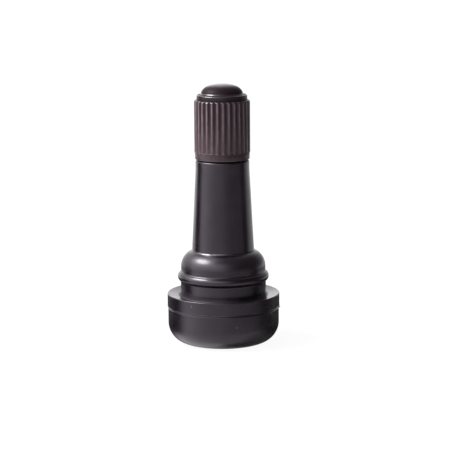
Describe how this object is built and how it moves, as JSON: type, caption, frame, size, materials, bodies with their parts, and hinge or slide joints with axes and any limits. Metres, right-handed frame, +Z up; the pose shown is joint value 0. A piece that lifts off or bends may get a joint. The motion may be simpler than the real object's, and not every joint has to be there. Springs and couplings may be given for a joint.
{
  "type": "tyre valve",
  "caption": "Snap-in tubeless tyre valve: tapered rubber stem with retaining bead and round base flange, moulded on a brass tube with a spring-loaded screw-in core and a ribbed screw cap.",
  "frame": {"origin": "centre of the base's underside, on the surface that the valve stands on", "axes": "+Z up along the stem towards the cap; the body is turned about Z; the bridge of the core lies along Y"},
  "size_m": [0.0194, 0.0194, 0.045],
  "materials": {
    "body_rubber": "satin",
    "stem_brass": "satin",
    "core_brass": "gloss",
    "gasket_plastic": "matte",
    "spring_steel": "gloss",
    "seal_rubber": "matte",
    "cap_plastic": "gloss"
  },
  "bodies": {
    "stem": {"rubber_body": "body_rubber", "brass_stem": "stem_brass", "core_plug": "core_brass", "core_barrel": "core_brass", "barrel_gasket": "gasket_plastic", "core_spring": "spring_steel"},
    "pin": {"core_pin": "core_brass", "seal_cup": "core_brass", "seat_washer": "seal_rubber"},
    "cap_seal": {"cap_seal": "seal_rubber"},
    "cap": {"screw_cap": "cap_plastic"}
  },
  "joints": [
    {"name": "pin_press", "type": "slide", "parent": "stem", "child": "pin", "axis": [0, 0, -1], "range_m": [0, 0.0015], "stiffness_N_per_m": 1200, "deforming": ["core_spring"]},
    {"name": "cap_lift", "type": "slide", "parent": "stem", "child": "cap_seal", "axis": [0, 0, 1], "range_m": [0, 0.01032]},
    {"name": "cap_turn", "type": "hinge", "parent": "cap_seal", "child": "cap", "pos_m": [0, 0, 0.0366], "axis": [0, 0, 1], "range_deg": [0, 4680]}
  ],
  "couplings": [
    {"joint": "cap_turn", "follows": "cap_lift", "rad_per_m": 7915.8}
  ]
}
